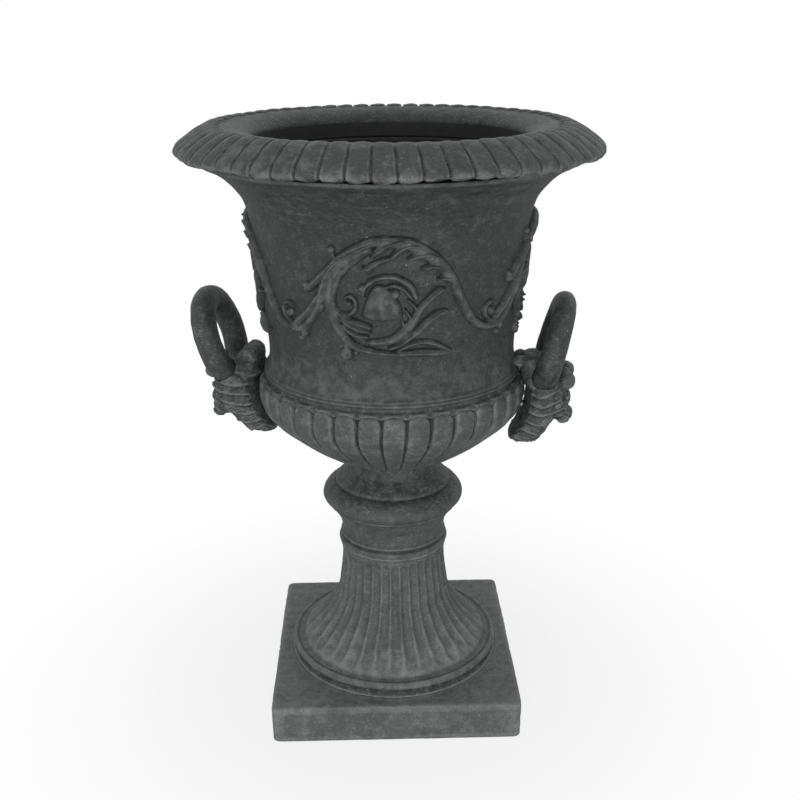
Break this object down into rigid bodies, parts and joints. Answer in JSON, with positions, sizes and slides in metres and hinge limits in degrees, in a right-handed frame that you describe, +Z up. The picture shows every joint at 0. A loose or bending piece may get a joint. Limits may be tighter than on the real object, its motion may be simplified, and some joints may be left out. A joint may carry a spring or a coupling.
{
  "type": "urn planter",
  "caption": "Pedestal garden urn with a lobed rolled rim, scroll relief on a bell body, gadrooned bowl, fluted foot, square plinth and mask ring handles.",
  "frame": {"origin": "centre of the plinth's underside, on the ground", "axes": "+Z up the urn's axis, -Y towards the front, +X towards the right-hand handle as seen from the front"},
  "size_m": [0.4752, 0.4752, 0.7172],
  "materials": {
    "cast_stone": "matte charcoal cast stone with fine grain, pits and rubbed edges",
    "steel": "dull zinc-plated steel",
    "rubber": "matte black rubber"
  },
  "bodies": {
    "root": {"plinth": "cast_stone", "fluted_foot": "cast_stone", "socle": "cast_stone", "gadroon_bowl": "cast_stone", "bell": "cast_stone", "lip_ring": "cast_stone", "scroll_front": "cast_stone", "scroll_right": "cast_stone", "scroll_back": "cast_stone", "scroll_left": "cast_stone", "mask_left": "cast_stone", "mask_right": "cast_stone", "ring_left": "cast_stone", "ring_right": "cast_stone", "ring_core_left": "steel", "ring_core_right": "steel", "mask_bolts": "steel", "mask_washers": "steel", "tie_rod": "steel", "rod_gasket": "rubber", "rod_washers": "steel", "rod_nuts": "steel", "foot_strap": "steel"}
  },
  "joints": []
}
